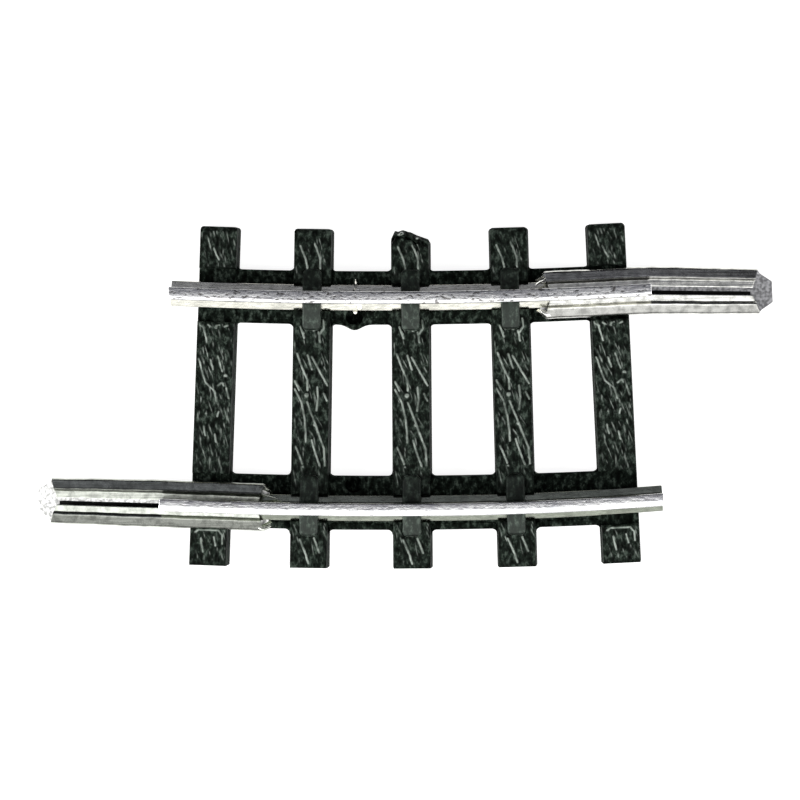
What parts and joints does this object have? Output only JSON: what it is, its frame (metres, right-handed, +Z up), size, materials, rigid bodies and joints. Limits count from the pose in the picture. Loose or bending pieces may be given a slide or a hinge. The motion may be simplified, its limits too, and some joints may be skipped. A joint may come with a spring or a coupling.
{
  "type": "model railway curved track section",
  "caption": "Short curved piece of model railway track: flat-bottomed metal rails on a wood-grained plastic sleeper base, with folded sheet rail joiners that slide off the rail ends.",
  "frame": {"origin": "on the base plane, under the middle of the middle sleeper and the middle of the track", "axes": "+X along the track there, +Y towards the centre of the curve, +Z up"},
  "size_m": [0.0335, 0.0156, 0.0033],
  "materials": {
    "sleeper_plastic": "moulded, semi-matt, with raised wood grain",
    "rail_metal": "drawn nickel silver, running surface polished and lightly pitted",
    "joiner_metal": "bright rolled sheet"
  },
  "bodies": {
    "track": {"sleeper_1": "sleeper_plastic", "sleeper_2": "sleeper_plastic", "sleeper_3": "sleeper_plastic", "sleeper_4": "sleeper_plastic", "sleeper_5": "sleeper_plastic", "link_inner_1": "sleeper_plastic", "link_inner_2": "sleeper_plastic", "link_inner_3": "sleeper_plastic", "link_inner_4": "sleeper_plastic", "link_outer_1": "sleeper_plastic", "link_outer_2": "sleeper_plastic", "link_outer_3": "sleeper_plastic", "link_outer_4": "sleeper_plastic", "rail_inner": "rail_metal", "rail_outer": "rail_metal"},
    "inner_joiner": {"joiner_inner": "joiner_metal"},
    "outer_joiner": {"joiner_outer": "joiner_metal"}
  },
  "joints": [
    {"name": "inner_joiner_slide", "type": "slide", "parent": "track", "child": "inner_joiner", "axis": [0.9992, 0.0405, 0], "range_m": [0, 0.0052]},
    {"name": "outer_joiner_slide", "type": "slide", "parent": "track", "child": "outer_joiner", "axis": [-0.9992, 0.041, 0], "range_m": [0, 0.0052]}
  ]
}
